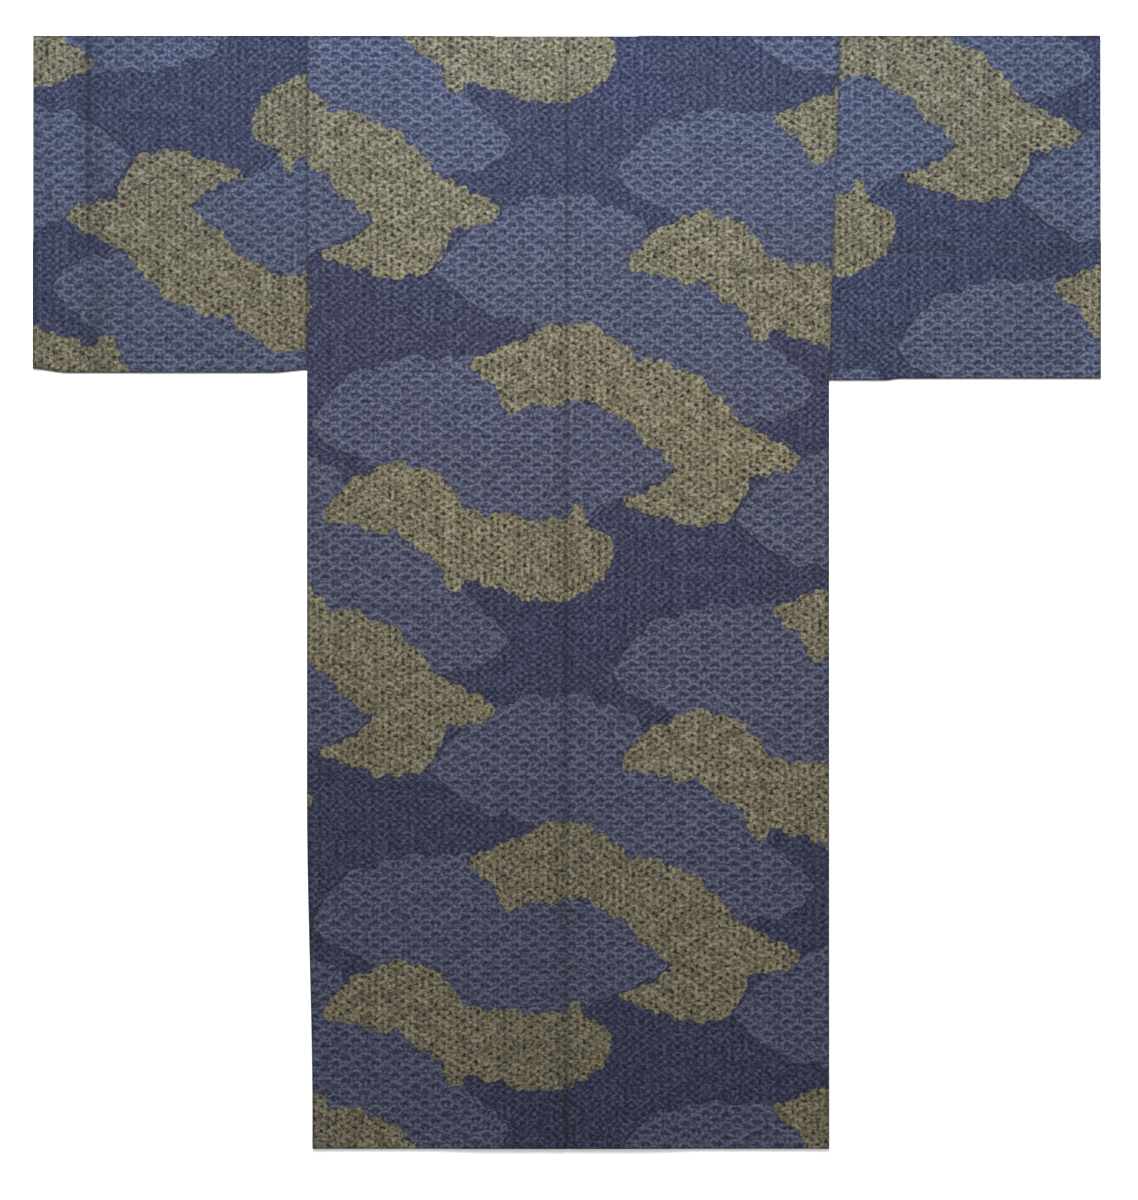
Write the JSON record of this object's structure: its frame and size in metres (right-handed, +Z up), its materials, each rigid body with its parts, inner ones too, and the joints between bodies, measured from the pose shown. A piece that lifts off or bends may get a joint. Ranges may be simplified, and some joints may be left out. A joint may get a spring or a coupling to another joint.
{
  "type": "yukata robe",
  "caption": "Cotton yukata robe laid flat with its back up: T-shaped, with straight body strips, folded square sleeves, front overlap panels and a collar band.",
  "frame": {"origin": "on the resting plane, under the middle of the outline", "axes": "+X to the right as one looks down on the back, +Y from the hem to the shoulders, +Z up; the wearer's left is at -X"},
  "size_m": [1.3444, 1.3999, 0.0072],
  "materials": {
    "body": "dyed plain-weave cotton, navy ground with slate blue and tan clouds",
    "sleeve": "dyed plain-weave cotton, navy ground with slate blue and tan clouds",
    "okumi": "dyed plain-weave cotton, navy ground with slate blue and tan clouds",
    "collar": "dyed plain-weave cotton, folded double, navy ground with slate blue and tan clouds"
  },
  "bodies": {
    "root": {"left_body": "body", "right_body": "body", "left_sleeve": "sleeve", "right_sleeve": "sleeve", "left_okumi": "okumi", "right_okumi": "okumi", "collar": "collar"}
  },
  "joints": []
}
